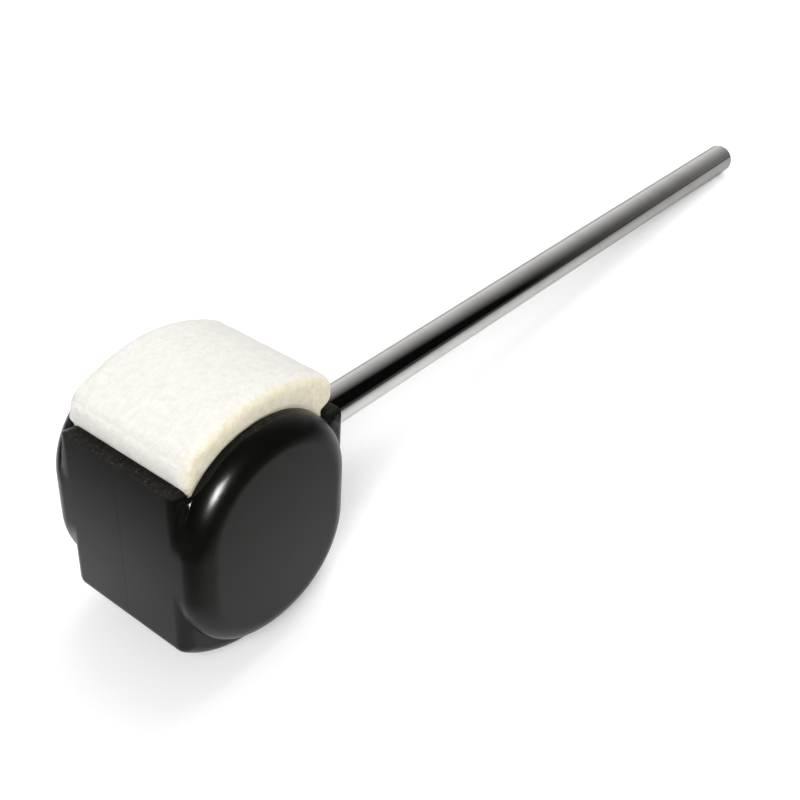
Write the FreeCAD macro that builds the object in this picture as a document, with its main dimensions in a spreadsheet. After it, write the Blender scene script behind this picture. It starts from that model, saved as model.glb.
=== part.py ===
import FreeCAD, Part
import math
import os
import Sketcher

# A bass drum beater, in millimetres. A plated rod carries a two-sided head: felt strikes on one
# side, the hard moulding on the other. +X runs along the rod to its free tail and +Z leaves the
# felt face. The origin is on the rod's axis where its full diameter ends at the tail. The head's
# pieces are drawn about the head's centre, which lies on the rod's axis.

SIZES = {
    # Rod: the free stretch, and the turned seat that is buried in the head
    "shaft_radius": 4.0,
    "shaft_free_length": 188.5,
    "shaft_tail_chamfer": 0.8,
    "seat_radius": 3.8,
    "seat_stand_off": 5.1,
    "seat_chamfer": 0.5,
    "seat_gap": 0.05,
    "seat_end_gap": 0.3,
    # Head: the core between the cheeks. Its striking arc is about the head's centre, the insets
    # here and below are measured in from that arc's radius
    "strike_radius": 25.9,
    "end_inset": 7.2,
    "wall_inset": 3.8,
    "rim_height": 16.2,
    "wall_height": 12.6,
    "heel_radius": 8.0,
    "core_half_width": 14.7,
    "core_round": 2.5,
    "seam_chamfer": 0.1,
    # Cheeks: the rounded discs on both sides of the core
    "cheek_inset": 4.0,
    "cheek_corner_inset": 8.4,
    "cheek_half_width": 19.2,
    "cheek_round": 4.4,
    # Walls of the hollow moulding
    "end_wall": 3.2,
    "shaft_wall": 3.3,
    "strike_wall": 3.0,
    "side_wall": 2.8,
    "cheek_wall": 2.8,
    "floor_height": 12.0,
    "floor_wall": 2.8,
    "recess_inset": 10.4,
    # Ribs: one stops the rod's buried end, the other cradles it half way to the shaft wall
    "rib_thickness": 2.2,
    # Pegs that line up the two halves
    "peg_radius": 1.3,
    "peg_length": 2.4,
    "peg_gap": 0.1,
    "peg_boss_radius": 2.4,
    "peg_height": 7.0,
    "peg_inset": 14.9,
    # Slotted spring pin across the rod's buried end
    "pin_radius": 1.5,
    "pin_wall": 0.5,
    "pin_slot": 0.7,
    "pin_length": 20.0,
    "pin_inset": 4.5,
    "pin_gap": 0.05,
    "pin_end_gap": 0.3,
    "pin_boss_radius": 3.2,
    "pin_boss_gap": 0.6,
    # Felt block and its pocket
    "pocket_half_width": 14.0,
    "felt_radius": 29.5,
    "felt_shift": 1.4,
    "felt_drop": 2.8,
    "felt_gap": 0.15,
    "felt_bevel": 1.2,
    "felt_bevel_share": 0.3,
}

START, END, CENTRE = range(1, 4)
UPRIGHT_AXIS, LEVEL_AXIS = range(-2, 0)
ORIGIN = (LEVEL_AXIS, START)
AXES = {"DistanceX": UPRIGHT_AXIS, "DistanceY": LEVEL_AXIS}
NORMAL = FreeCAD.Vector(0, 0, 1)
TOLERANCE = 1e-4

END_REACH = "(Sizes.strike_radius - Sizes.end_inset)"
WALL_REACH = "(Sizes.strike_radius - Sizes.wall_inset)"
CHEEK_RADIUS = "(Sizes.strike_radius - Sizes.cheek_inset)"
CORNER_RADIUS = "(Sizes.strike_radius - Sizes.cheek_corner_inset)"
RECESS_RADIUS = "(Sizes.strike_radius - Sizes.recess_inset)"
HEAD_X = f"-(Sizes.shaft_free_length + {WALL_REACH})"
POCKET_LEFT = f"-({END_REACH} - Sizes.end_wall)"
POCKET_RIGHT = f"{WALL_REACH} - Sizes.shaft_wall"
CEILING = "Sizes.floor_height - Sizes.floor_wall"
SEAT_END = f"({POCKET_LEFT} + Sizes.seat_stand_off)"
SEAT_LENGTH = f"({WALL_REACH} - {SEAT_END})"
STOP_X = f"({SEAT_END} - Sizes.seat_end_gap - Sizes.rib_thickness / 2)"
CRADLE_X = f"(({STOP_X} + {POCKET_RIGHT}) / 2)"
PIN_X = f"({SEAT_END} + Sizes.pin_inset)"
PEG_X = f"(({CRADLE_X} + {POCKET_RIGHT}) / 2)"
CROWN_CENTRE = ("Sizes.felt_shift", "-Sizes.felt_drop")

doc = FreeCAD.newDocument("bass_drum_beater")
sheet = doc.addObject("Spreadsheet::Sheet", "Sizes")
for row, (alias, value) in enumerate(SIZES.items(), start=1):
    sheet.set(f"A{row}", alias)
    sheet.set(f"B{row}", str(value))
    sheet.setAlias(f"B{row}", alias)
doc.recompute()


def measure(expression):
    """The number that an expression in the sheet's sizes comes to."""
    return float(sheet.evalExpression(expression))


def spot(corner):
    """A corner, given as a pair of expressions, as a point of a sketch."""
    return FreeCAD.Vector(measure(corner[0]), measure(corner[1]), 0)


def new_body(name, x="0"):
    """A named piece whose own origin lies on the rod's axis at x."""
    body = doc.addObject("PartDesign::Body", name)
    body.Label = name
    body.setExpression("Placement.Base.x", x)
    return body


def new_sketch(body, name, plane, offset=None):
    """A sketch on one of the piece's own planes, or at an offset along that plane's normal."""
    sketch = body.newObject("Sketcher::SketchObject", name)
    support = next(item for item in body.Origin.OriginFeatures if item.Role == plane)
    sketch.AttachmentSupport = [(support, "")]
    sketch.MapMode = "FlatFace"
    if offset:
        sketch.setExpression("AttachmentOffset.Base.z", offset)
    return sketch


def tie(sketch, kind, *places):
    """A geometric constraint."""
    sketch.addConstraint(Sketcher.Constraint(kind, *places))


def dimension(sketch, kind, places, expression):
    """A dimension bound to the sheet."""
    index = sketch.addConstraint(Sketcher.Constraint(kind, *places, measure(expression)))
    sketch.setExpression(f"Constraints[{index}]", expression)


def locate(sketch, geometry, point, corner):
    """Dimensions a point from the sketch's origin, or ties it to an axis where it lies on one."""
    for kind, expression in zip(AXES, corner):
        if expression == "0":
            tie(sketch, "PointOnObject", geometry, point, AXES[kind])
        else:
            dimension(sketch, kind, (*ORIGIN, geometry, point), expression)


def line(sketch, start, end):
    """A line between two points, not yet constrained."""
    return sketch.addGeometry(Part.LineSegment(start, end), False)


def arc(sketch, centre, start, end):
    """An arc about a centre, counter-clockwise from start to end, not yet constrained."""
    circle = Part.Circle(centre, NORMAL, start.distanceToPoint(centre))
    angles = [math.atan2(point.y - centre.y, point.x - centre.x) for point in (start, end)]
    if angles[1] < angles[0]:
        angles[1] += math.tau
    return sketch.addGeometry(Part.ArcOfCircle(circle, *angles), False)


def polygon(sketch, corners):
    """A closed loop of lines with every corner dimensioned."""
    points = [spot(corner) for corner in corners]
    lines = [line(sketch, start, end) for start, end in zip(points, points[1:] + points[:1])]
    for before, after, corner in zip(lines[-1:] + lines[:-1], lines, corners):
        tie(sketch, "Coincident", before, END, after, START)
        locate(sketch, after, START, corner)


def box(sketch, left, right, bottom, top):
    """A rectangle between four dimensioned sides."""
    polygon(sketch, [(left, bottom), (right, bottom), (right, top), (left, top)])


def disc(sketch, corner, radius):
    """A circle with its centre and radius dimensioned."""
    circle = sketch.addGeometry(Part.Circle(spot(corner), NORMAL, measure(radius)), False)
    locate(sketch, circle, CENTRE, corner)
    dimension(sketch, "Radius", (circle,), radius)


def finish(body, feature):
    """Makes a feature the piece's tip and rebuilds it."""
    body.Tip = feature
    doc.recompute()
    return feature


def pad(body, name, sketch, length, flip=False, both_ways=False):
    """Raises a sketch along its normal, against it, or half of the length each way."""
    feature = body.newObject("PartDesign::Pad", name)
    feature.Profile = sketch
    feature.setExpression("Length", length)
    feature.Reversed = flip
    feature.Midplane = both_ways
    return finish(body, feature)


def pocket(body, name, sketch, length, flip=False, both_ways=False):
    """Cuts a sketch against its normal, along it, or half of the length each way."""
    before = body.Tip.Shape.Volume
    feature = body.newObject("PartDesign::Pocket", name)
    feature.Profile = sketch
    feature.setExpression("Length", length)
    feature.Reversed = flip
    feature.Midplane = both_ways
    finish(body, feature)
    if feature.Shape.Volume > before - TOLERANCE:
        raise RuntimeError(f"{body.Label}: {name} cuts nothing")
    return feature


def edges_where(feature, test):
    """The names of a feature's edges on which both ends and the middle pass a test."""
    names = []
    for index, edge in enumerate(feature.Shape.Edges, start=1):
        first, last = edge.ParameterRange
        points = [edge.valueAt(place) for place in (first, (first + last) / 2, last)]
        if all(test(point) for point in points):
            names.append(f"Edge{index}")
    return names


def soften(body, name, kind, size, test):
    """Rounds or chamfers the tip's edges that pass a test."""
    base = body.Tip
    feature = body.newObject(f"PartDesign::{kind}", name)
    feature.Base = (base, edges_where(base, test))
    feature.setExpression("Radius" if kind == "Fillet" else "Size", size)
    return finish(body, feature)


def near(value, expression):
    """Whether a coordinate equals the value of an expression."""
    return abs(value - measure(expression)) < TOLERANCE


def core_outline(sketch):
    """The core seen along its width: end face, striking arc, rounded heel, shaft wall and top."""
    strike = measure("Sizes.strike_radius")
    heel = measure("Sizes.heel_radius")
    reach = measure(WALL_REACH)
    origin = FreeCAD.Vector(0, 0, 0)
    rim = spot((f"-{END_REACH}", "Sizes.rim_height"))
    wall_top = spot((WALL_REACH, "Sizes.wall_height"))
    foot = FreeCAD.Vector(rim.x, -math.sqrt(strike**2 - rim.x**2), 0)
    heel_x = reach - heel
    heel_centre = FreeCAD.Vector(heel_x, -math.sqrt((strike - heel) ** 2 - heel_x**2), 0)
    heel_start = heel_centre * (strike / (strike - heel))
    heel_end = FreeCAD.Vector(reach, heel_centre.y, 0)

    end_face = line(sketch, rim, foot)
    face_arc = arc(sketch, origin, foot, heel_start)
    heel_arc = arc(sketch, heel_centre, heel_start, heel_end)
    wall = line(sketch, heel_end, wall_top)
    top = line(sketch, wall_top, rim)
    tie(sketch, "Coincident", face_arc, CENTRE, *ORIGIN)
    tie(sketch, "Coincident", end_face, END, face_arc, START)
    tie(sketch, "Tangent", face_arc, END, heel_arc, START)
    tie(sketch, "Tangent", heel_arc, END, wall, START)
    tie(sketch, "Coincident", wall, END, top, START)
    tie(sketch, "Coincident", top, END, end_face, START)
    tie(sketch, "Vertical", end_face)
    tie(sketch, "Vertical", wall)
    dimension(sketch, "Radius", (face_arc,), "Sizes.strike_radius")
    dimension(sketch, "Radius", (heel_arc,), "Sizes.heel_radius")
    locate(sketch, end_face, START, (f"-{END_REACH}", "Sizes.rim_height"))
    locate(sketch, wall, END, (WALL_REACH, "Sizes.wall_height"))


def cheek_outline(sketch):
    """A disc cut flat towards both ends, with arcs that ease it into the flats."""
    radius = measure(CHEEK_RADIUS)
    corner = measure(CORNER_RADIUS)
    flat_x = measure(END_REACH)
    origin = FreeCAD.Vector(0, 0, 0)
    corner_x = flat_x - corner
    corner_z = math.sqrt((radius - corner) ** 2 - corner_x**2)
    swell = radius / (radius - corner)
    centres = [FreeCAD.Vector(x, z, 0) for x, z in (
        (corner_x, corner_z), (-corner_x, corner_z), (-corner_x, -corner_z), (corner_x, -corner_z))]
    flat_ends = [FreeCAD.Vector(math.copysign(flat_x, centre.x), centre.y, 0) for centre in centres]
    arc_ends = [centre * swell for centre in centres]

    shaft_flat = line(sketch, flat_ends[3], flat_ends[0])
    shaft_high = arc(sketch, centres[0], flat_ends[0], arc_ends[0])
    high_arc = arc(sketch, origin, arc_ends[0], arc_ends[1])
    end_high = arc(sketch, centres[1], arc_ends[1], flat_ends[1])
    end_flat = line(sketch, flat_ends[1], flat_ends[2])
    end_low = arc(sketch, centres[2], flat_ends[2], arc_ends[2])
    low_arc = arc(sketch, origin, arc_ends[2], arc_ends[3])
    shaft_low = arc(sketch, centres[3], arc_ends[3], flat_ends[3])
    loop = [shaft_flat, shaft_high, high_arc, end_high, end_flat, end_low, low_arc, shaft_low]
    for before, after in zip(loop, loop[1:] + loop[:1]):
        tie(sketch, "Tangent", before, END, after, START)
    for broad in (high_arc, low_arc):
        tie(sketch, "Coincident", broad, CENTRE, *ORIGIN)
    tie(sketch, "Equal", high_arc, low_arc)
    for tight in (end_high, end_low, shaft_low):
        tie(sketch, "Equal", shaft_high, tight)
    tie(sketch, "Vertical", shaft_flat)
    tie(sketch, "Vertical", end_flat)
    dimension(sketch, "Radius", (high_arc,), CHEEK_RADIUS)
    dimension(sketch, "Radius", (shaft_high,), CORNER_RADIUS)
    dimension(sketch, "DistanceX", (*ORIGIN, shaft_flat, START), END_REACH)
    dimension(sketch, "DistanceX", (end_flat, START, *ORIGIN), END_REACH)


def hollow_outline(sketch):
    """The hollow of the core, which follows the striking arc inside its wall."""
    radius = measure("Sizes.strike_radius - Sizes.strike_wall")
    top_left = spot((POCKET_LEFT, CEILING))
    top_right = spot((POCKET_RIGHT, CEILING))
    low_left = FreeCAD.Vector(top_left.x, -math.sqrt(radius**2 - top_left.x**2), 0)
    low_right = FreeCAD.Vector(top_right.x, -math.sqrt(radius**2 - top_right.x**2), 0)

    left = line(sketch, top_left, low_left)
    bottom = arc(sketch, FreeCAD.Vector(0, 0, 0), low_left, low_right)
    right = line(sketch, low_right, top_right)
    top = line(sketch, top_right, top_left)
    tie(sketch, "Coincident", bottom, CENTRE, *ORIGIN)
    tie(sketch, "Coincident", left, END, bottom, START)
    tie(sketch, "Coincident", bottom, END, right, START)
    tie(sketch, "Coincident", right, END, top, START)
    tie(sketch, "Coincident", top, END, left, START)
    tie(sketch, "Vertical", left)
    tie(sketch, "Vertical", right)
    dimension(sketch, "Radius", (bottom,), "Sizes.strike_radius - Sizes.strike_wall")
    locate(sketch, left, START, (POCKET_LEFT, CEILING))
    locate(sketch, right, END, (POCKET_RIGHT, CEILING))


def recess_outline(sketch):
    """The round hollow behind the cheek, cut off under the felt pocket's floor."""
    radius = measure(RECESS_RADIUS)
    height = measure(CEILING)
    half_chord = math.sqrt(radius**2 - height**2)
    left = FreeCAD.Vector(-half_chord, height, 0)
    right = FreeCAD.Vector(half_chord, height, 0)

    round_edge = arc(sketch, FreeCAD.Vector(0, 0, 0), left, right)
    chord = line(sketch, right, left)
    tie(sketch, "Coincident", round_edge, CENTRE, *ORIGIN)
    tie(sketch, "Coincident", round_edge, END, chord, START)
    tie(sketch, "Coincident", chord, END, round_edge, START)
    tie(sketch, "Horizontal", chord)
    dimension(sketch, "Radius", (round_edge,), RECESS_RADIUS)
    dimension(sketch, "DistanceY", (*ORIGIN, chord, START), CEILING)


def half_shell(name, left):
    """One moulded half of the head, hollow and open at the seam, with its ribs and bosses.

    The left half lies towards -Y and has the pegs, the right half towards +Y has their sockets.
    """
    body = new_body(name, HEAD_X)
    away = "" if left else "-"

    def outline(title, offset=None):
        return new_sketch(body, f"{name}_{title}", "XZ_Plane", offset and f"{away}({offset})")

    def raise_part(title, sketch, length):
        return pad(body, f"{name}_{title}", sketch, length, flip=not left)

    def cut_part(title, sketch, length):
        return pocket(body, f"{name}_{title}", sketch, length, flip=left)

    def on_side(point):
        return near(abs(point.y), "Sizes.core_half_width")

    def on_foot(point):
        radius = math.hypot(point.x, point.z)
        return near(point.x, f"-{END_REACH}") and near(radius, "Sizes.strike_radius")

    core = outline("core_outline")
    core_outline(core)
    raise_part("core", core, "Sizes.core_half_width")
    soften(body, f"{name}_core_round", "Fillet", "Sizes.core_round",
           lambda point: on_side(point) or on_foot(point))
    soften(body, f"{name}_seam", "Chamfer", "Sizes.seam_chamfer", lambda point: abs(point.y) < TOLERANCE)

    cheek_start = "Sizes.core_half_width - Sizes.core_round"
    cheek = outline("cheek_outline", cheek_start)
    cheek_outline(cheek)
    raise_part("cheek", cheek, f"Sizes.cheek_half_width - ({cheek_start})")
    soften(body, f"{name}_cheek_round", "Fillet", "Sizes.cheek_round",
           lambda point: near(abs(point.y), "Sizes.cheek_half_width"))

    felt_pocket = outline("felt_pocket_outline")
    box(felt_pocket, POCKET_LEFT, POCKET_RIGHT, "Sizes.floor_height", "Sizes.strike_radius")
    cut_part("felt_pocket", felt_pocket, "Sizes.pocket_half_width")

    hollow = outline("hollow_outline")
    hollow_outline(hollow)
    cut_part("hollow", hollow, "Sizes.core_half_width - Sizes.side_wall")
    recess = outline("recess_outline")
    recess_outline(recess)
    cut_part("recess", recess, "Sizes.cheek_half_width - Sizes.cheek_wall")

    ribs = outline("rib_outline")
    for middle in (STOP_X, CRADLE_X):
        foot = f"-sqrt((Sizes.strike_radius - Sizes.strike_wall / 2)^2 - {middle}^2)"
        box(ribs, f"{middle} - Sizes.rib_thickness / 2", f"{middle} + Sizes.rib_thickness / 2",
            foot, "Sizes.floor_height - Sizes.floor_wall / 2")
    raise_part("ribs", ribs, "Sizes.core_half_width - Sizes.side_wall / 2")

    peg_places = [(PIN_X, "Sizes.peg_height"), (PEG_X, "-(Sizes.strike_radius - Sizes.peg_inset)")]
    bosses = outline("peg_boss_outline")
    for place in peg_places:
        disc(bosses, place, "Sizes.peg_boss_radius")
    raise_part("peg_bosses", bosses, "Sizes.cheek_half_width - Sizes.cheek_wall / 2")

    boss_start = "Sizes.seat_radius + Sizes.pin_boss_gap"
    pin_boss = outline("pin_boss_outline", boss_start)
    disc(pin_boss, (PIN_X, "0"), "Sizes.pin_boss_radius")
    raise_part("pin_boss", pin_boss, f"Sizes.cheek_half_width - Sizes.cheek_wall / 2 - ({boss_start})")
    pin_hole = outline("pin_hole_outline", boss_start)
    disc(pin_hole, (PIN_X, "0"), "Sizes.pin_radius + Sizes.pin_gap")
    cut_part("pin_hole", pin_hole, f"Sizes.pin_length / 2 + Sizes.pin_end_gap - ({boss_start})")

    seat = new_sketch(body, f"{name}_seat_outline", "YZ_Plane", WALL_REACH)
    disc(seat, ("0", "0"), "Sizes.seat_radius + Sizes.seat_gap")
    pocket(body, f"{name}_seat", seat, f"{SEAT_LENGTH} + Sizes.seat_end_gap")

    pegs = outline("peg_outline")
    for place in peg_places:
        disc(pegs, place, "Sizes.peg_radius" if left else "Sizes.peg_radius + Sizes.peg_gap")
    if left:
        pad(body, f"{name}_pegs", pegs, "Sizes.peg_length", flip=True)
    else:
        cut_part("sockets", pegs, "Sizes.peg_length + Sizes.peg_gap")
    return body


def shaft():
    """The rod: a turned seat with a cross hole at the head, and a chamfered tail."""
    body = new_body("shaft")
    shoulder = "-Sizes.shaft_free_length"
    seat_end = f"{shoulder} - {SEAT_LENGTH}"
    profile = new_sketch(body, "shaft_profile", "XZ_Plane")
    polygon(profile, [
        (seat_end, "0"),
        ("Sizes.shaft_tail_chamfer", "0"),
        ("Sizes.shaft_tail_chamfer", "Sizes.shaft_radius - Sizes.shaft_tail_chamfer"),
        ("0", "Sizes.shaft_radius"),
        (shoulder, "Sizes.shaft_radius"),
        (shoulder, "Sizes.seat_radius"),
        (f"{seat_end} + Sizes.seat_chamfer", "Sizes.seat_radius"),
        (seat_end, "Sizes.seat_radius - Sizes.seat_chamfer"),
    ])
    rod = body.newObject("PartDesign::Revolution", "shaft_rod")
    rod.Profile = profile
    rod.ReferenceAxis = (profile, ["H_Axis"])
    finish(body, rod)
    cross_hole = new_sketch(body, "shaft_cross_hole_outline", "XZ_Plane")
    disc(cross_hole, (f"{seat_end} + Sizes.pin_inset", "0"), "Sizes.pin_radius + Sizes.pin_gap")
    pocket(body, "shaft_cross_hole", cross_hole, "2 * Sizes.shaft_radius", both_ways=True)
    return body


def anchor_pin():
    """The slotted spring pin, its slot towards the felt."""
    body = new_body("anchor_pin", f"{HEAD_X} + {PIN_X}")
    outer = measure("Sizes.pin_radius")
    inner = measure("Sizes.pin_radius - Sizes.pin_wall")
    half_slot = measure("Sizes.pin_slot / 2")
    origin = FreeCAD.Vector(0, 0, 0)
    outer_left = FreeCAD.Vector(-half_slot, math.sqrt(outer**2 - half_slot**2), 0)
    outer_right = FreeCAD.Vector(half_slot, outer_left.y, 0)
    inner_left = FreeCAD.Vector(-half_slot, math.sqrt(inner**2 - half_slot**2), 0)
    inner_right = FreeCAD.Vector(half_slot, inner_left.y, 0)

    section = new_sketch(body, "anchor_pin_section", "XZ_Plane")
    outside = arc(section, origin, outer_left, outer_right)
    right_lip = line(section, outer_right, inner_right)
    inside = arc(section, origin, inner_left, inner_right)
    left_lip = line(section, inner_left, outer_left)
    tie(section, "Coincident", outside, CENTRE, *ORIGIN)
    tie(section, "Coincident", inside, CENTRE, *ORIGIN)
    tie(section, "Coincident", outside, END, right_lip, START)
    tie(section, "Coincident", right_lip, END, inside, END)
    tie(section, "Coincident", inside, START, left_lip, START)
    tie(section, "Coincident", left_lip, END, outside, START)
    tie(section, "Vertical", right_lip)
    tie(section, "Vertical", left_lip)
    dimension(section, "Radius", (outside,), "Sizes.pin_radius")
    dimension(section, "Radius", (inside,), "Sizes.pin_radius - Sizes.pin_wall")
    dimension(section, "DistanceX", (*ORIGIN, right_lip, START), "Sizes.pin_slot / 2")
    dimension(section, "DistanceX", (left_lip, END, *ORIGIN), "Sizes.pin_slot / 2")
    pad(body, "anchor_pin_tube", section, "Sizes.pin_length", both_ways=True)
    return body


def felt_pad():
    """The felt block: it fills its pocket, and its crown is an arc that leans towards the shaft."""
    body = new_body("felt_pad", HEAD_X)
    left = f"{POCKET_LEFT} + Sizes.felt_gap"
    right = f"{POCKET_RIGHT} - Sizes.felt_gap"
    radius = measure("Sizes.felt_radius")
    middle = spot(CROWN_CENTRE)
    low_left = spot((left, "Sizes.floor_height"))
    low_right = spot((right, "Sizes.floor_height"))
    left_rise = math.sqrt(radius**2 - (low_left.x - middle.x) ** 2)
    right_rise = math.sqrt(radius**2 - (low_right.x - middle.x) ** 2)
    top_left = FreeCAD.Vector(low_left.x, middle.y + left_rise, 0)
    top_right = FreeCAD.Vector(low_right.x, middle.y + right_rise, 0)

    profile = new_sketch(body, "felt_pad_profile", "XZ_Plane")
    floor = line(profile, low_left, low_right)
    shaft_side = line(profile, low_right, top_right)
    crown = arc(profile, middle, top_right, top_left)
    end_side = line(profile, top_left, low_left)
    locate(profile, crown, CENTRE, CROWN_CENTRE)
    tie(profile, "Coincident", floor, END, shaft_side, START)
    tie(profile, "Coincident", shaft_side, END, crown, START)
    tie(profile, "Coincident", crown, END, end_side, START)
    tie(profile, "Coincident", end_side, END, floor, START)
    tie(profile, "Vertical", shaft_side)
    tie(profile, "Vertical", end_side)
    dimension(profile, "Radius", (crown,), "Sizes.felt_radius")
    locate(profile, floor, START, (left, "Sizes.floor_height"))
    locate(profile, floor, END, (right, "Sizes.floor_height"))
    pad(body, "felt_pad_block", profile, "2 * (Sizes.pocket_half_width - Sizes.felt_gap)", both_ways=True)

    def on_floor(point):
        return near(point.z, "Sizes.floor_height")

    block = body.Tip
    cut_edges = set(edges_where(block, lambda point: True)) - set(edges_where(block, on_floor))
    soft_edges = body.newObject("PartDesign::Chamfer", "felt_pad_bevel")
    soft_edges.Base = (block, sorted(cut_edges))
    crown_edge = f"sqrt(Sizes.felt_radius^2 - ({right} - Sizes.felt_shift)^2) - Sizes.felt_drop"
    side_height = f"({crown_edge} - Sizes.floor_height)"
    soft_edges.setExpression("Size", f"min(Sizes.felt_bevel; Sizes.felt_bevel_share * {side_height})")
    finish(body, soft_edges)
    return body


pieces = [
    shaft(),
    half_shell("left_shell", left=True),
    half_shell("right_shell", left=False),
    felt_pad(),
    anchor_pin(),
]

doc.recompute()
failed = [item.Label for item in doc.Objects if {"Invalid", "Error"} & set(item.State)]
if failed:
    raise RuntimeError(f"failed: {failed}")
for piece in pieces:
    if piece.Shape.isNull() or not piece.Shape.isValid() or len(piece.Shape.Solids) != 1:
        raise RuntimeError(f"{piece.Label} is not one sound solid")

os.makedirs("parts", exist_ok=True)
for piece in pieces:
    piece.Shape.exportStep(f"parts/{piece.Label}.step")
    print(piece.Label, round(piece.Shape.Volume), piece.Shape.BoundBox)
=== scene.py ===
import math

import bmesh
import bpy
from mathutils import Matrix, Vector, noise


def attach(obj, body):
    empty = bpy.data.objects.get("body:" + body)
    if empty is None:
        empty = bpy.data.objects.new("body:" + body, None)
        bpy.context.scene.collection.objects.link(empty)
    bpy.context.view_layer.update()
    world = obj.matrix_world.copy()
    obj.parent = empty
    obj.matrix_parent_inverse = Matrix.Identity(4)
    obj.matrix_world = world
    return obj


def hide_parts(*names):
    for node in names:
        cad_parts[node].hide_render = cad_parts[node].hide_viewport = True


# A bass drum beater lies on a white table, on its hard striking face and the tail of its shaft.
# Lengths are metres. +X runs along the shaft to its tail and +Z leaves the felt.
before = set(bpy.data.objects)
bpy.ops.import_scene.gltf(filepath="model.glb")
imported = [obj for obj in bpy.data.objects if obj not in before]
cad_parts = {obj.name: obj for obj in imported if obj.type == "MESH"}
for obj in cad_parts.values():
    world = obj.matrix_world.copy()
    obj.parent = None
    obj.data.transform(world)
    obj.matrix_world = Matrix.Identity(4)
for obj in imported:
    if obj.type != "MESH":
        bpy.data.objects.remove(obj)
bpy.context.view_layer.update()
scene = bpy.context.scene
scene.view_settings.view_transform = "Standard"

# The centre of the head, and the two rounds that the beater lies on
HEAD_X = -0.2106
HEAD = Vector((HEAD_X, 0.0, 0.0))
HARD_FACE_RADIUS = 0.0259
SHAFT_RADIUS = 0.004

# The felt block and the pocket that holds it, measured from the head's centre
FELT_CROWN_RADIUS = 0.0295
FELT_CROWN_X = 0.0014
FELT_CROWN_Z = -0.0028
FELT_FLOOR = 0.012
FELT_GAP = 0.00004
FELT_EDGE = 0.0019
FELT_CUTS = 43
POCKET_END = -0.0155
POCKET_SHAFT = 0.0188
POCKET_HALF_WIDTH = 0.014
RIM_HEIGHT = 0.0162
WALL_HEIGHT = 0.0126

# How far the felt swells where it leaves its pocket, and over what depth and width the swelling comes in
SWELL_END = 0.0007
SWELL_SHAFT = 0.0003
SWELL_SIDE = 0.0004
SWELL_DEPTH = 0.0006
SWELL_ZONE = 0.006

# How far it spreads over the far cheek, close to the end wall and low above the rim
SPREAD = 0.001
SPREAD_REACH = 0.008
SPREAD_HEIGHT = 0.0042

# How far its foot is drawn in at the shaft
DRAWN_IN = 0.0024
DRAWN_REACH = 0.0072
DRAWN_TOP = 0.0172
DRAWN_DEPTH = 0.0012

# Its lumps, so many to the metre and so high
BROAD_LUMPS = 320.0
BROAD_LUMP_HEIGHT = 0.00009
FINE_LUMPS = 1100.0
FINE_LUMP_HEIGHT = 0.00006

# The outline of the two cheeks: a disc eased into flats at both ends
CHEEK_RADIUS = 0.0219
CHEEK_CORNER = 0.0175
CHEEK_REACH = 0.0187

# The joint of the two halves: its broken edge in the CAD shape, and how far it is drawn shut
SEAM_REACH = 0.00002
SEAM_WIDTH = 0.0002
SEAM_SHUT = 0.7

# The upright edges of the end wall: where they lie, their tight round, and the wider one at the rim's corner
END_REACH = 0.0187
END_EDGE_DEPTH = 0.0026
END_EDGE_OUTER = 0.0147
END_EDGE_INNER = 0.0121
END_EDGE_FOOT = 0.0042
END_EDGE_ROUND = 0.0012
END_EDGE_FULL_TURN = 1.01
END_CORNER_ROUND = 0.0025
END_CORNER_START = 0.0105
END_CORNER_RISE = 0.003

# How the CAD shapes are joined and shaded. The creases are in degrees
MERGE_DISTANCE = 0.000002
METAL_CREASE = 30
MOULDING_CREASE = 32
EVEN_WEIGHT = 90

# The camera: a lens and a sensor in millimetres, and its place and two of its axes
LENS = 51.84
SENSOR_WIDTH = 36.0
NEAREST_SEEN = 0.01
EYE = Vector((-0.31855, -0.12174, 0.13336))
VIEW = Vector((0.66094, 0.48505, -0.57261)).normalized()
RIGHT = Vector((0.62236, -0.78064, 0.0571)).normalized()

# The table's half width, and the lamps' places
TABLE_REACH = 6.0
FRONT_PLACE = HEAD + Vector((-0.9675, -0.6, 0.975))
GLINT_PLACE = HEAD + Vector((-0.2204, -0.2636, 0.2044))
OVERHEAD_PLACE = HEAD + Vector((0.35, 0.1, 0.9))


def eased(value):
    """0 below 0 and 1 above 1, with a soft step between."""
    value = min(max(value, 0.0), 1.0)
    return value * value * (3.0 - 2.0 * value)


def cheek_height(x):
    """How high the cheeks stand at a distance from the head's centre."""
    corner_x = CHEEK_REACH - CHEEK_CORNER
    corner_z = math.sqrt((CHEEK_RADIUS - CHEEK_CORNER) ** 2 - corner_x**2)
    if abs(x) < corner_x * CHEEK_RADIUS / (CHEEK_RADIUS - CHEEK_CORNER):
        return math.sqrt(CHEEK_RADIUS**2 - x * x)
    return corner_z + math.sqrt(max(CHEEK_CORNER**2 - (abs(x) - corner_x) ** 2, 0.0))


def show(name, mesh, material, stands_for):
    """Puts a finished mesh into the scene in place of a CAD node."""
    piece = bpy.data.objects.new(name, mesh)
    scene.collection.objects.link(piece)
    mesh.materials.clear()
    mesh.materials.append(material)
    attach(piece, "root")
    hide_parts(stands_for)
    return piece


# Node building


def add(tree, kind, **properties):
    """A new node with its properties set."""
    made = tree.nodes.new(kind)
    for key, value in properties.items():
        setattr(made, key, value)
    return made


def feed(tree, node, **sockets):
    """Sets or links a node's inputs: by name, with _ for a space, or by place, as i0 or i1."""
    for key, value in sockets.items():
        by_place = key[0] == "i" and key[1:].isdigit()
        socket = node.inputs[int(key[1:]) if by_place else key.replace("_", " ")]
        if isinstance(value, bpy.types.NodeSocket):
            tree.links.new(value, socket)
        else:
            socket.default_value = value
    return node


def math_node(tree, operation, first, second):
    """The result of one sum."""
    made = add(tree, "ShaderNodeMath", operation=operation)
    feed(tree, made, i0=first, i1=second)
    return made.outputs[0]


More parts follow.
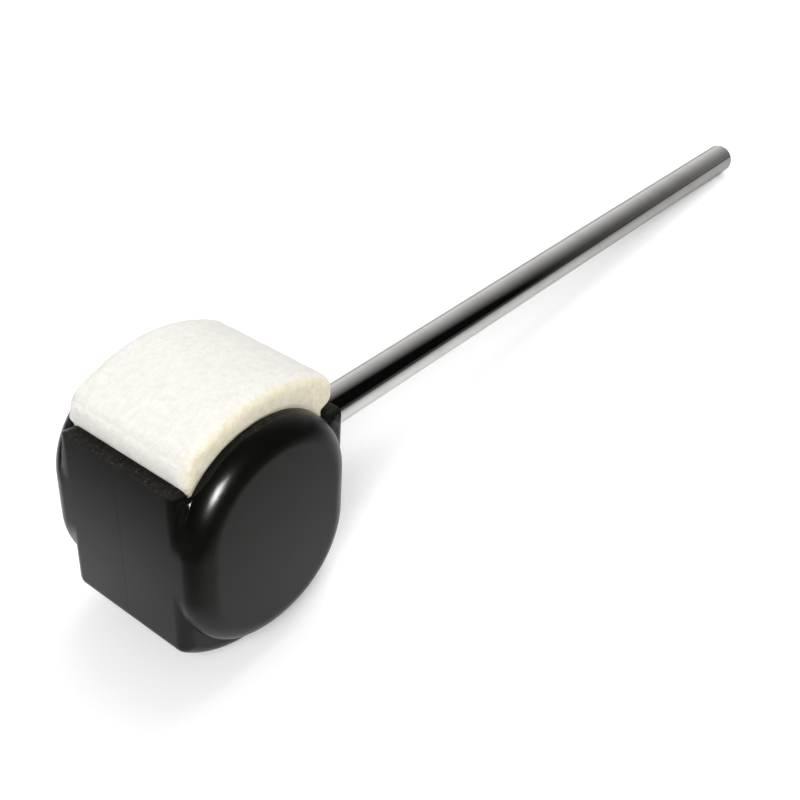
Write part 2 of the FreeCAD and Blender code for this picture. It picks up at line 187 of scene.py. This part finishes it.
def ramp(tree, value, low=0.0, high=1.0, floor=0.0, top=1.0):
    """A value that goes from floor to top, with soft ends, as the given one goes from low to high."""
    made = add(tree, "ShaderNodeMapRange", interpolation_type="SMOOTHSTEP")
    feed(tree, made, Value=value, From_Min=low, From_Max=high, To_Min=floor, To_Max=top)
    return made.outputs["Result"]


def blend(tree, share, first, second):
    """A colour between two."""
    made = add(tree, "ShaderNodeMix", data_type="RGBA")
    feed(tree, made, i0=share, i6=first, i7=second)
    return made.outputs[2]


def noise_value(tree, vector, scale, detail=2.0, roughness=0.5):
    """Cloudy noise from 0 to 1."""
    made = add(tree, "ShaderNodeTexNoise")
    feed(tree, made, Vector=vector, Scale=scale, Detail=detail, Roughness=roughness)
    return made.outputs[0]


def stretched(tree, vector, scale):
    """Coordinates multiplied along each axis."""
    made = add(tree, "ShaderNodeMapping")
    feed(tree, made, Vector=vector, Scale=scale)
    return made.outputs[0]


def facing(tree):
    """The X, Y and Z of the direction that a surface faces."""
    made = add(tree, "ShaderNodeSeparateXYZ")
    feed(tree, made, Vector=add(tree, "ShaderNodeNewGeometry").outputs["Normal"])
    return made.outputs


def bump(tree, principled, height, strength, distance):
    """Roughens a surface by a height."""
    made = add(tree, "ShaderNodeBump")
    feed(tree, made, Height=height, Strength=strength, Distance=distance)
    tree.links.new(made.outputs[0], principled.inputs["Normal"])


# Effects made as node groups


def new_group(name, inputs, outputs):
    """A shader node group with float or vector sockets, its tree and its two end nodes."""
    tree = bpy.data.node_groups.new(name, "ShaderNodeTree")
    for title, kind in inputs:
        tree.interface.new_socket(title, in_out="INPUT", socket_type=kind)
    for title, kind in outputs:
        tree.interface.new_socket(title, in_out="OUTPUT", socket_type=kind)
    return tree, tree.nodes.new("NodeGroupInput"), tree.nodes.new("NodeGroupOutput")


def handling_marks():
    """Smudges, as handling leaves on a glossy finish."""
    tree, given, result = new_group(
        "handling_marks",
        [("Vector", "NodeSocketVector"), ("Scale", "NodeSocketFloat")],
        [("Smudge", "NodeSocketFloat")],
    )
    broad = noise_value(tree, given.outputs["Vector"], given.outputs["Scale"], detail=4.0, roughness=0.6)
    tree.links.new(ramp(tree, broad, low=0.42, high=0.72), result.inputs["Smudge"])
    return tree


def lint():
    """Small round specks, scattered so that the amount is the share of places that hold one."""
    tree, given, result = new_group(
        "lint",
        [("Vector", "NodeSocketVector"), ("Scale", "NodeSocketFloat"), ("Amount", "NodeSocketFloat")],
        [("Mask", "NodeSocketFloat")],
    )
    specks = add(tree, "ShaderNodeTexVoronoi", feature="F1")
    feed(tree, specks, Vector=given.outputs["Vector"], Scale=given.outputs["Scale"])
    small = ramp(tree, specks.outputs["Distance"], low=0.16, high=0.4, floor=1.0, top=0.0)
    pick = add(tree, "ShaderNodeSeparateColor")
    feed(tree, pick, Color=specks.outputs["Color"])
    chosen = math_node(tree, "LESS_THAN", pick.outputs[0], given.outputs["Amount"])
    tree.links.new(math_node(tree, "MULTIPLY", small, chosen), result.inputs["Mask"])
    return tree


HANDLING_MARKS = handling_marks()
LINT = lint()


def placed(tree, group, **sockets):
    """An effect's node group, placed in a material with its own values."""
    made = add(tree, "ShaderNodeGroup", node_tree=group)
    return feed(tree, made, **sockets)


# Materials


def new_material(name, **sockets):
    """A material, its tree, its Principled shader and its Object coordinates."""
    material = bpy.data.materials.new(name)
    material.use_nodes = True
    tree = material.node_tree
    principled = tree.nodes["Principled BSDF"]
    feed(tree, principled, **sockets)
    return material, tree, principled, add(tree, "ShaderNodeTexCoord").outputs["Object"]


def chrome_plate():
    """Bright plating, slightly smudged, with faint polishing lines round the rod."""
    clean = (0.67, 0.66, 0.635, 1.0)
    smudged = (0.6, 0.585, 0.56, 1.0)
    fine_along = (30.0, 1.0, 1.0)
    material, tree, principled, place = new_material("chrome_plate", Metallic=1.0)
    smudge = placed(tree, HANDLING_MARKS, Vector=place, Scale=90.0).outputs["Smudge"]
    feed(tree, principled, Roughness=ramp(tree, smudge, floor=0.025, top=0.06))
    feed(tree, principled, Base_Color=blend(tree, smudge, clean, smudged))
    rings = noise_value(tree, stretched(tree, place, fine_along), scale=400.0)
    bump(tree, principled, rings, strength=0.06, distance=0.00002)
    return material


def black_moulding():
    """Black moulded plastic with a satin gloss, a faint grain and handling marks.

    Faces that lie level are rubbed dull in patches and hold most of the lint.
    """
    dark = (0.0022, 0.0024, 0.0021, 1.0)
    paler = (0.0046, 0.0046, 0.0041, 1.0)
    rubbed = (0.008, 0.005, 0.0045, 1.0)
    speck = (0.15, 0.085, 0.07, 1.0)
    dull_all_over = 0.2
    dull_in_patches = 0.35
    material, tree, principled, place = new_material(
        "black_moulding",
        IOR=1.5,
        Specular_IOR_Level=0.25,
        Specular_Tint=(0.97, 1.0, 0.93, 1.0),
    )
    smudge = placed(tree, HANDLING_MARKS, Vector=place, Scale=70.0).outputs["Smudge"]
    dust = placed(tree, LINT, Vector=place, Scale=1500.0, Amount=0.55).outputs["Mask"]
    tone = blend(tree, noise_value(tree, place, scale=55.0, detail=3.0), dark, paler)
    level = ramp(tree, facing(tree)["Z"], low=0.965, high=0.995)
    patches = ramp(tree, noise_value(tree, place, scale=900.0, detail=3.0), low=0.4, high=0.7)
    scuffed = math_node(tree, "MULTIPLY", level, patches)
    worn = blend(tree, scuffed, tone, rubbed)
    specked = math_node(tree, "MULTIPLY", dust, ramp(tree, level, floor=0.006, top=0.38))
    feed(tree, principled, Base_Color=blend(tree, specked, worn, speck))
    handled = ramp(tree, smudge, floor=0.235, top=0.265)
    dull = math_node(tree, "MULTIPLY", level, dull_all_over)
    duller = math_node(tree, "MULTIPLY", scuffed, dull_in_patches)
    rough = math_node(tree, "ADD", handled, math_node(tree, "ADD", dull, duller))
    feed(tree, principled, Roughness=rough)
    grain = noise_value(tree, place, scale=2600.0, roughness=0.6)
    bump(tree, principled, grain, strength=0.1, distance=0.00003)
    return material


def wool_felt():
    """Pressed wool: matted fibres with painted light where they stand up, painted shade in hollows and on
    its cream sides.
    """
    pressed_hollow_shade = (0.82, 0.79, 0.72, 1.0)
    pressed_raised_light = (0.9, 0.89, 0.855, 1.0)
    cream_hollow_shade = (0.8, 0.72, 0.52, 1.0)
    cream_raised_light = (0.93, 0.885, 0.71, 1.0)
    bend = (0.004, 0.004, 0.004)
    lays = ((4.0, 1.0, 1.5), (1.0, 4.5, 1.5))
    fibre_height = 0.6
    clump_height = 0.6
    material, tree, principled, place = new_material(
        "wool_felt",
        Roughness=1.0,
        Specular_IOR_Level=0.1,
        Sheen_Weight=0.2,
        Sheen_Roughness=0.6,
    )
    swirl = add(tree, "ShaderNodeTexNoise")
    feed(tree, swirl, Vector=place, Scale=260.0, Detail=2.0)
    bent = add(tree, "ShaderNodeVectorMath", operation="MULTIPLY_ADD")
    feed(tree, bent, i0=swirl.outputs["Color"], i1=bend, i2=place)
    one_way, other_way = (
        noise_value(tree, stretched(tree, bent.outputs[0], lay), scale=900.0, detail=4.0, roughness=0.65)
        for lay in lays
    )
    matted = math_node(tree, "MAXIMUM", one_way, other_way)
    clumps = noise_value(tree, place, scale=800.0, detail=3.0, roughness=0.65)
    fibres_up = math_node(tree, "MULTIPLY", matted, fibre_height)
    clumps_up = math_node(tree, "MULTIPLY", clumps, clump_height)
    height = math_node(tree, "ADD", fibres_up, clumps_up)
    # Raised fibres are painted paler and the hollows darker: painted light and shade that follow the bump.
    raised_light_share = ramp(tree, height, low=0.42, high=0.82)
    pressed = blend(tree, raised_light_share, pressed_hollow_shade, pressed_raised_light)
    cream_and_side_shade = blend(tree, raised_light_share, cream_hollow_shade, cream_raised_light)
    # The sides that face across get a deeper cream than the top: the felt's own cream, deepened there as
    # painted shade.
    side_shade = ramp(tree, math_node(tree, "ABSOLUTE", facing(tree)["Y"], 0.0), low=0.25, high=0.85)
    worn = ramp(tree, noise_value(tree, place, scale=75.0), low=0.5, high=0.75, top=0.1)
    side_shade_and_cream_patches = math_node(tree, "MAXIMUM", side_shade, worn)
    feed(tree, principled, Base_Color=blend(tree, side_shade_and_cream_patches, pressed, cream_and_side_shade))
    bump(tree, principled, height, strength=0.7, distance=0.0004)
    return material


def spring_steel():
    """Plain drawn steel of the hidden pin, with fine lines along it."""
    dark = (0.36, 0.36, 0.37, 1.0)
    pale = (0.48, 0.48, 0.49, 1.0)
    drawn_out = (1.0, 0.05, 1.0)
    material, tree, principled, place = new_material("spring_steel", Metallic=1.0)
    drawn = noise_value(tree, stretched(tree, place, drawn_out), scale=3000.0, detail=3.0)
    feed(tree, principled, Base_Color=blend(tree, drawn, dark, pale))
    feed(tree, principled, Roughness=ramp(tree, drawn, low=0.2, high=0.8, floor=0.28, top=0.42))
    bump(tree, principled, drawn, strength=0.2, distance=0.00003)
    return material


def table_paper():
    """White paper that keeps the beater's shadow.

    The camera sees it lifted towards white, more so away from the beater. In mirror images it darkens
    towards the tail, in front of the end wall and in front of the near cheek.
    """
    paper_white = (0.88, 0.88, 0.88, 1.0)
    full_until = HEAD_X + 0.04
    material = bpy.data.materials.new("white_table")
    material.use_nodes = True
    tree = material.node_tree
    tree.nodes.remove(tree.nodes["Principled BSDF"])
    place = add(tree, "ShaderNodeSeparateXYZ")
    feed(tree, place, Vector=add(tree, "ShaderNodeTexCoord").outputs["Object"])
    along = place.outputs["X"]
    across = place.outputs["Y"]
    past_head = math_node(tree, "MINIMUM", math_node(tree, "SUBTRACT", along, HEAD_X), 0.0)
    past_tail = math_node(tree, "MAXIMUM", along, 0.0)
    aside = add(tree, "ShaderNodeCombineXYZ")
    feed(tree, aside, X=math_node(tree, "ADD", past_head, past_tail), Y=across)
    distance = add(tree, "ShaderNodeVectorMath", operation="LENGTH")
    feed(tree, distance, i0=aside.outputs[0])
    ray = add(tree, "ShaderNodeLightPath")
    paper = add(tree, "ShaderNodeBsdfDiffuse")
    feed(tree, paper, Color=paper_white)
    lift = add(tree, "ShaderNodeEmission")
    lifted = ramp(tree, distance.outputs["Value"], low=0.12, high=0.5, floor=0.26, top=0.75)
    feed(tree, lift, Strength=math_node(tree, "MULTIPLY", ray.outputs["Is Camera Ray"], lifted))
    seen = add(tree, "ShaderNodeAddShader")
    feed(tree, seen, i0=paper.outputs[0], i1=lift.outputs[0])
    to_tail = ramp(tree, along, low=full_until, high=0.0, floor=1.0, top=0.5)
    before_end = ramp(tree, past_head, low=-0.023, high=-0.062, floor=1.0, top=0.1)
    before_cheek = ramp(tree, across, low=-0.005, high=-0.11, floor=0.92, top=0.1)
    dimmed = math_node(tree, "MULTIPLY", before_end, before_cheek)
    mirrored = add(tree, "ShaderNodeBsdfDiffuse")
    feed(tree, mirrored, Color=math_node(tree, "MULTIPLY", to_tail, dimmed))
    both = add(tree, "ShaderNodeMixShader")
    feed(tree, both, i0=ray.outputs["Is Glossy Ray"], i1=seen.outputs[0], i2=mirrored.outputs[0])
    tree.links.new(both.outputs[0], tree.nodes["Material Output"].inputs["Surface"])
    return material


# Pieces


def close_seam(made):
    """Draws the broken edge along the joint of the halves nearly shut, so that it shows as a hairline."""
    for vert in made.verts:
        if abs(vert.co.y) > SEAM_REACH:
            continue
        beside = [edge.other_vert(vert) for edge in vert.link_edges]
        outer = [other for other in beside if SEAM_REACH < abs(other.co.y) < SEAM_WIDTH]
        outer = [other for other in outer if (other.co - vert.co).length < SEAM_WIDTH]
        if outer:
            nearest = min(outer, key=lambda other: (other.co - vert.co).length)
            aim = Vector((nearest.co.x, vert.co.y, nearest.co.z))
            vert.co = vert.co.lerp(aim, SEAM_SHUT)


def tighten_edge(made):
    """Draws the end wall's upright edge to a tighter round, from just above the shaft to the rim."""
    face = HEAD_X - END_REACH
    for vert in made.verts:
        x, y, z = vert.co
        if z < END_EDGE_FOOT or x > face + END_EDGE_DEPTH or abs(y) < END_EDGE_INNER:
            continue
        corner = eased((z - END_CORNER_START) / END_CORNER_RISE)
        radius = END_EDGE_ROUND + (END_CORNER_ROUND - END_EDGE_ROUND) * corner
        turn = (abs(y) - END_EDGE_OUTER + radius) / radius
        if turn < END_EDGE_FULL_TURN:
            vert.co.x = face + radius * (1.0 - math.sqrt(1.0 - min(max(turn, 0.0), 1.0) ** 2))


def smooth_piece(node, name, material, crease, half_shell=False):
    """A CAD node's shape as one joined surface, shaded smooth up to a crease angle."""
    made = bmesh.new()
    made.from_mesh(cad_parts[node].data)
    bmesh.ops.remove_doubles(made, verts=made.verts, dist=MERGE_DISTANCE)
    if half_shell:
        close_seam(made)
        tighten_edge(made)
    mesh = bpy.data.meshes.new(name)
    made.to_mesh(mesh)
    made.free()
    mesh.shade_smooth()
    mesh.set_sharp_from_angle(angle=math.radians(crease))
    piece = show(name, mesh, material, node)
    even = piece.modifiers.new("even_shading", "WEIGHTED_NORMAL")
    even.keep_sharp = True
    even.weight = EVEN_WEIGHT


def felt_point(along, across, up):
    """Where a point of a cube from -1 to 1 lies on the felt.

    The felt swells where it leaves its pocket, spreads over the far cheek close to the end wall, and is
    drawn in at the foot of its shaft end.
    """
    half_length = (POCKET_SHAFT - POCKET_END) / 2 - FELT_GAP
    half_width = POCKET_HALF_WIDTH - FELT_GAP
    middle = (POCKET_SHAFT + POCKET_END) / 2
    x = middle + half_length * along
    height = FELT_CROWN_Z + math.sqrt(FELT_CROWN_RADIUS**2 - (x - FELT_CROWN_X) ** 2) - FELT_FLOOR
    wide = Vector((half_length * along, half_width * across, height * (up + 1.0) / 2))
    core = Vector((
        min(max(wide.x, FELT_EDGE - half_length), half_length - FELT_EDGE),
        min(max(wide.y, FELT_EDGE - half_width), half_width - FELT_EDGE),
        min(wide.z, height - FELT_EDGE),
    ))
    outward = wide - core
    spot = core + outward.normalized() * FELT_EDGE if outward.length else core
    z = spot.z + FELT_FLOOR
    end_share = eased((abs(spot.x) - half_length + SWELL_ZONE) / SWELL_ZONE)
    side_share = eased((abs(spot.y) - half_width + SWELL_ZONE) / SWELL_ZONE)
    end_swell, rim = (SWELL_END, RIM_HEIGHT) if spot.x < 0 else (SWELL_SHAFT, DRAWN_TOP)
    push_x = end_swell * end_share * eased((z - rim) / SWELL_DEPTH)
    if spot.x > 0:
        near_shaft = eased(1.0 - (half_length - spot.x) / DRAWN_REACH)
        push_x -= DRAWN_IN * near_shaft * eased((DRAWN_TOP - z) / DRAWN_DEPTH)
    side_swell = SWELL_SIDE
    if spot.y > 0:
        low = 1.0 - eased((z - RIM_HEIGHT) / SPREAD_HEIGHT)
        side_swell += SPREAD * low * eased((SPREAD_REACH - half_length - spot.x) / SPREAD_REACH)
    push_y = side_swell * side_share * eased((z - cheek_height(spot.x + middle)) / SWELL_DEPTH)
    return Vector((
        HEAD_X + middle + spot.x + (push_x if spot.x > 0 else -push_x),
        spot.y + math.copysign(push_y, spot.y),
        z,
    ))


def striking_felt(material):
    """The felt block: crowned, eased at its edges, swollen and lumpy where it stands out of its pocket."""
    made = bmesh.new()
    bmesh.ops.create_cube(made, size=2.0)
    bmesh.ops.subdivide_edges(made, edges=made.edges[:], cuts=FELT_CUTS, use_grid_fill=True)
    # The sine crowds the points towards the edges, where the felt turns
    for vert in made.verts:
        vert.co = felt_point(*(math.sin(share * math.pi / 2) for share in vert.co))
    made.normal_update()
    lumps = {}
    for vert in made.verts:
        broad = noise.noise(vert.co * BROAD_LUMPS) * BROAD_LUMP_HEIGHT
        fine = noise.noise(vert.co * FINE_LUMPS) * FINE_LUMP_HEIGHT
        free = eased((vert.co.z - WALL_HEIGHT) / SWELL_DEPTH)
        lumps[vert] = vert.normal * (broad + fine) * free
    for vert, lump in lumps.items():
        vert.co += lump
    mesh = bpy.data.meshes.new("striking_felt")
    made.to_mesh(mesh)
    made.free()
    mesh.shade_smooth()
    piece = show("striking_felt", mesh, material, "felt_pad")
    rounder = piece.modifiers.new("rounder", "SUBSURF")
    rounder.levels = rounder.render_levels = 1


CHROME = chrome_plate()
MOULDING = black_moulding()
FELT = wool_felt()
STEEL = spring_steel()

smooth_piece("shaft", "plated_shaft", CHROME, METAL_CREASE)
smooth_piece("left_shell", "near_half_shell", MOULDING, MOULDING_CREASE, half_shell=True)
smooth_piece("right_shell", "far_half_shell", MOULDING, MOULDING_CREASE, half_shell=True)
smooth_piece("anchor_pin", "hidden_pin", STEEL, METAL_CREASE)
striking_felt(FELT)


# Stage, camera and light


def table():
    """A white table under the hard face and the tail, larger than the view."""
    slope = math.asin((HARD_FACE_RADIUS - SHAFT_RADIUS) / -HEAD_X)
    made = bmesh.new()
    bmesh.ops.create_grid(made, x_segments=1, y_segments=1, size=TABLE_REACH)
    turn = Matrix.Rotation(-slope, 4, "Y")
    drop = Matrix.Translation((0.0, 0.0, -SHAFT_RADIUS / math.cos(slope)))
    bmesh.ops.transform(made, matrix=drop @ turn, verts=made.verts)
    mesh = bpy.data.meshes.new("white_table")
    made.to_mesh(mesh)
    made.free()
    mesh.materials.append(table_paper())
    floor = bpy.data.objects.new("white_table", mesh)
    scene.collection.objects.link(floor)


def camera():
    """The photograph's viewpoint, fitted to the outline of the head and the taper of the shaft."""
    data = bpy.data.cameras.new("camera")
    data.sensor_width = SENSOR_WIDTH
    data.lens = LENS
    data.clip_start = NEAREST_SEEN
    placed_at = Matrix((RIGHT, RIGHT.cross(VIEW), -VIEW)).transposed().to_4x4()
    placed_at.translation = EYE
    eye = bpy.data.objects.new("camera", data)
    eye.matrix_world = placed_at
    scene.collection.objects.link(eye)
    scene.camera = eye


def surround():
    """An even light from all round.

    The camera sees white. Mirrors show a room that darkens behind the camera.
    """
    brightest = (0.6, 0.745, -0.3)
    even_light = 0.36
    seen_white = 1.0
    world = bpy.data.worlds.new("studio")
    scene.world = world
    world.use_nodes = True
    tree = world.node_tree
    direction = add(tree, "ShaderNodeTexCoord").outputs["Generated"]
    along = add(tree, "ShaderNodeVectorMath", operation="DOT_PRODUCT")
    feed(tree, along, i0=direction, i1=brightest)
    room = add(tree, "ShaderNodeMapRange")
    feed(tree, room, Value=along.outputs["Value"], From_Min=-0.06, From_Max=0.85, To_Min=0.004, To_Max=0.88)
    ray = add(tree, "ShaderNodeLightPath")
    shade = add(tree, "ShaderNodeMix", data_type="FLOAT")
    feed(tree, shade, i0=ray.outputs["Is Glossy Ray"], i2=even_light, i3=room.outputs["Result"])
    seen = add(tree, "ShaderNodeMix", data_type="FLOAT")
    feed(tree, seen, i0=ray.outputs["Is Camera Ray"], i2=shade.outputs[0], i3=seen_white)
    feed(tree, tree.nodes["Background"], Color=(1.0, 1.0, 1.0, 1.0), Strength=seen.outputs[0])


def soft_box(name, place, size, power, mirrored, lighting=True):
    """A square lamp that faces the head, and may be left out of mirror images or only show in them."""
    data = bpy.data.lights.new(name, "AREA")
    data.size = size
    data.energy = power
    lamp = bpy.data.objects.new(name, data)
    lamp.location = place
    lamp.rotation_euler = (HEAD - place).to_track_quat("-Z", "Y").to_euler()
    lamp.visible_glossy = mirrored
    lamp.visible_diffuse = lighting
    scene.collection.objects.link(lamp)


table()
camera()
surround()
soft_box("front", FRONT_PLACE, size=0.6, power=14.0, mirrored=False)
soft_box("glint", GLINT_PLACE, size=0.12, power=3.6, mirrored=True, lighting=False)
soft_box("overhead", OVERHEAD_PLACE, size=0.6, power=4.2, mirrored=False)
